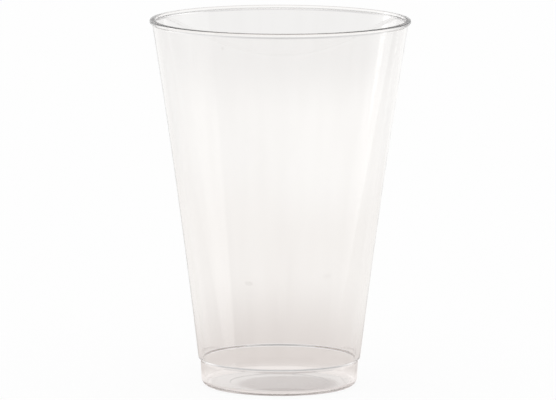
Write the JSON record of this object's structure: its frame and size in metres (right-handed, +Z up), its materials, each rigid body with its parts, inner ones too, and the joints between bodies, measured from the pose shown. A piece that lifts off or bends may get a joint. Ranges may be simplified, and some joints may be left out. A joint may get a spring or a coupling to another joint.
{
  "type": "plastic tumbler cup",
  "caption": "Clear moulded plastic tumbler with a tapered wall, an outward rim bead, a stacking step and a short foot, for cold drinks.",
  "frame": {"origin": "centre of the base, on the surface that the cup stands on", "axes": "+Z up along the cup's axis towards the mouth; +X and +Y lie in the plane of the base and are alike"},
  "size_m": [0.082, 0.082, 0.116],
  "materials": {
    "clear_plastic": "clear, polished"
  },
  "bodies": {
    "root": {"tumbler": "clear_plastic"}
  },
  "joints": []
}
